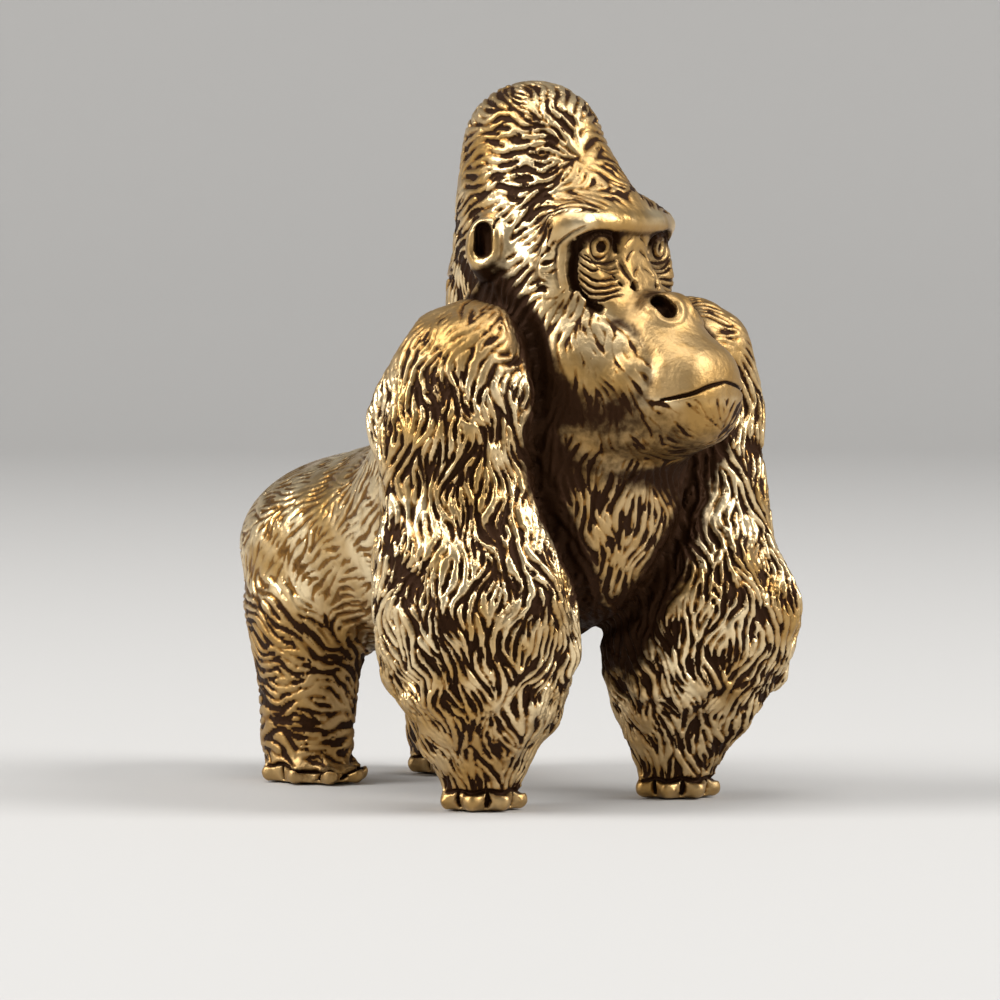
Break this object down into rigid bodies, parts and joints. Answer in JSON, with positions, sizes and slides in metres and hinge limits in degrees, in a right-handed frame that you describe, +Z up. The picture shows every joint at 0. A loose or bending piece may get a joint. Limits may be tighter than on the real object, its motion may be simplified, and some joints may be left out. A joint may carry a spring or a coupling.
{
  "type": "gorilla figurine",
  "caption": "Small antique brass ornament of a silverback gorilla standing on its knuckles, head turned to its left, with carved fur and a smooth bright face.",
  "frame": {"origin": "on the ground plane, under the middle of the figure's box", "axes": "+Z up, -Y the way the chest faces, +X towards the animal's left"},
  "size_m": [0.0278, 0.0378, 0.0415],
  "materials": {
    "antique_brass": "cast brass, dark patina left in the fur lines, high places rubbed bright",
    "drawn_brass": "bright drawn rod"
  },
  "bodies": {
    "root": {"trunk": "antique_brass", "head": "antique_brass", "right_arm": "antique_brass", "left_arm": "antique_brass", "right_leg": "antique_brass", "left_leg": "antique_brass", "neck_dowel": "drawn_brass", "right_shoulder_dowel": "drawn_brass", "left_shoulder_dowel": "drawn_brass", "right_hip_dowel": "drawn_brass", "left_hip_dowel": "drawn_brass"}
  },
  "joints": []
}
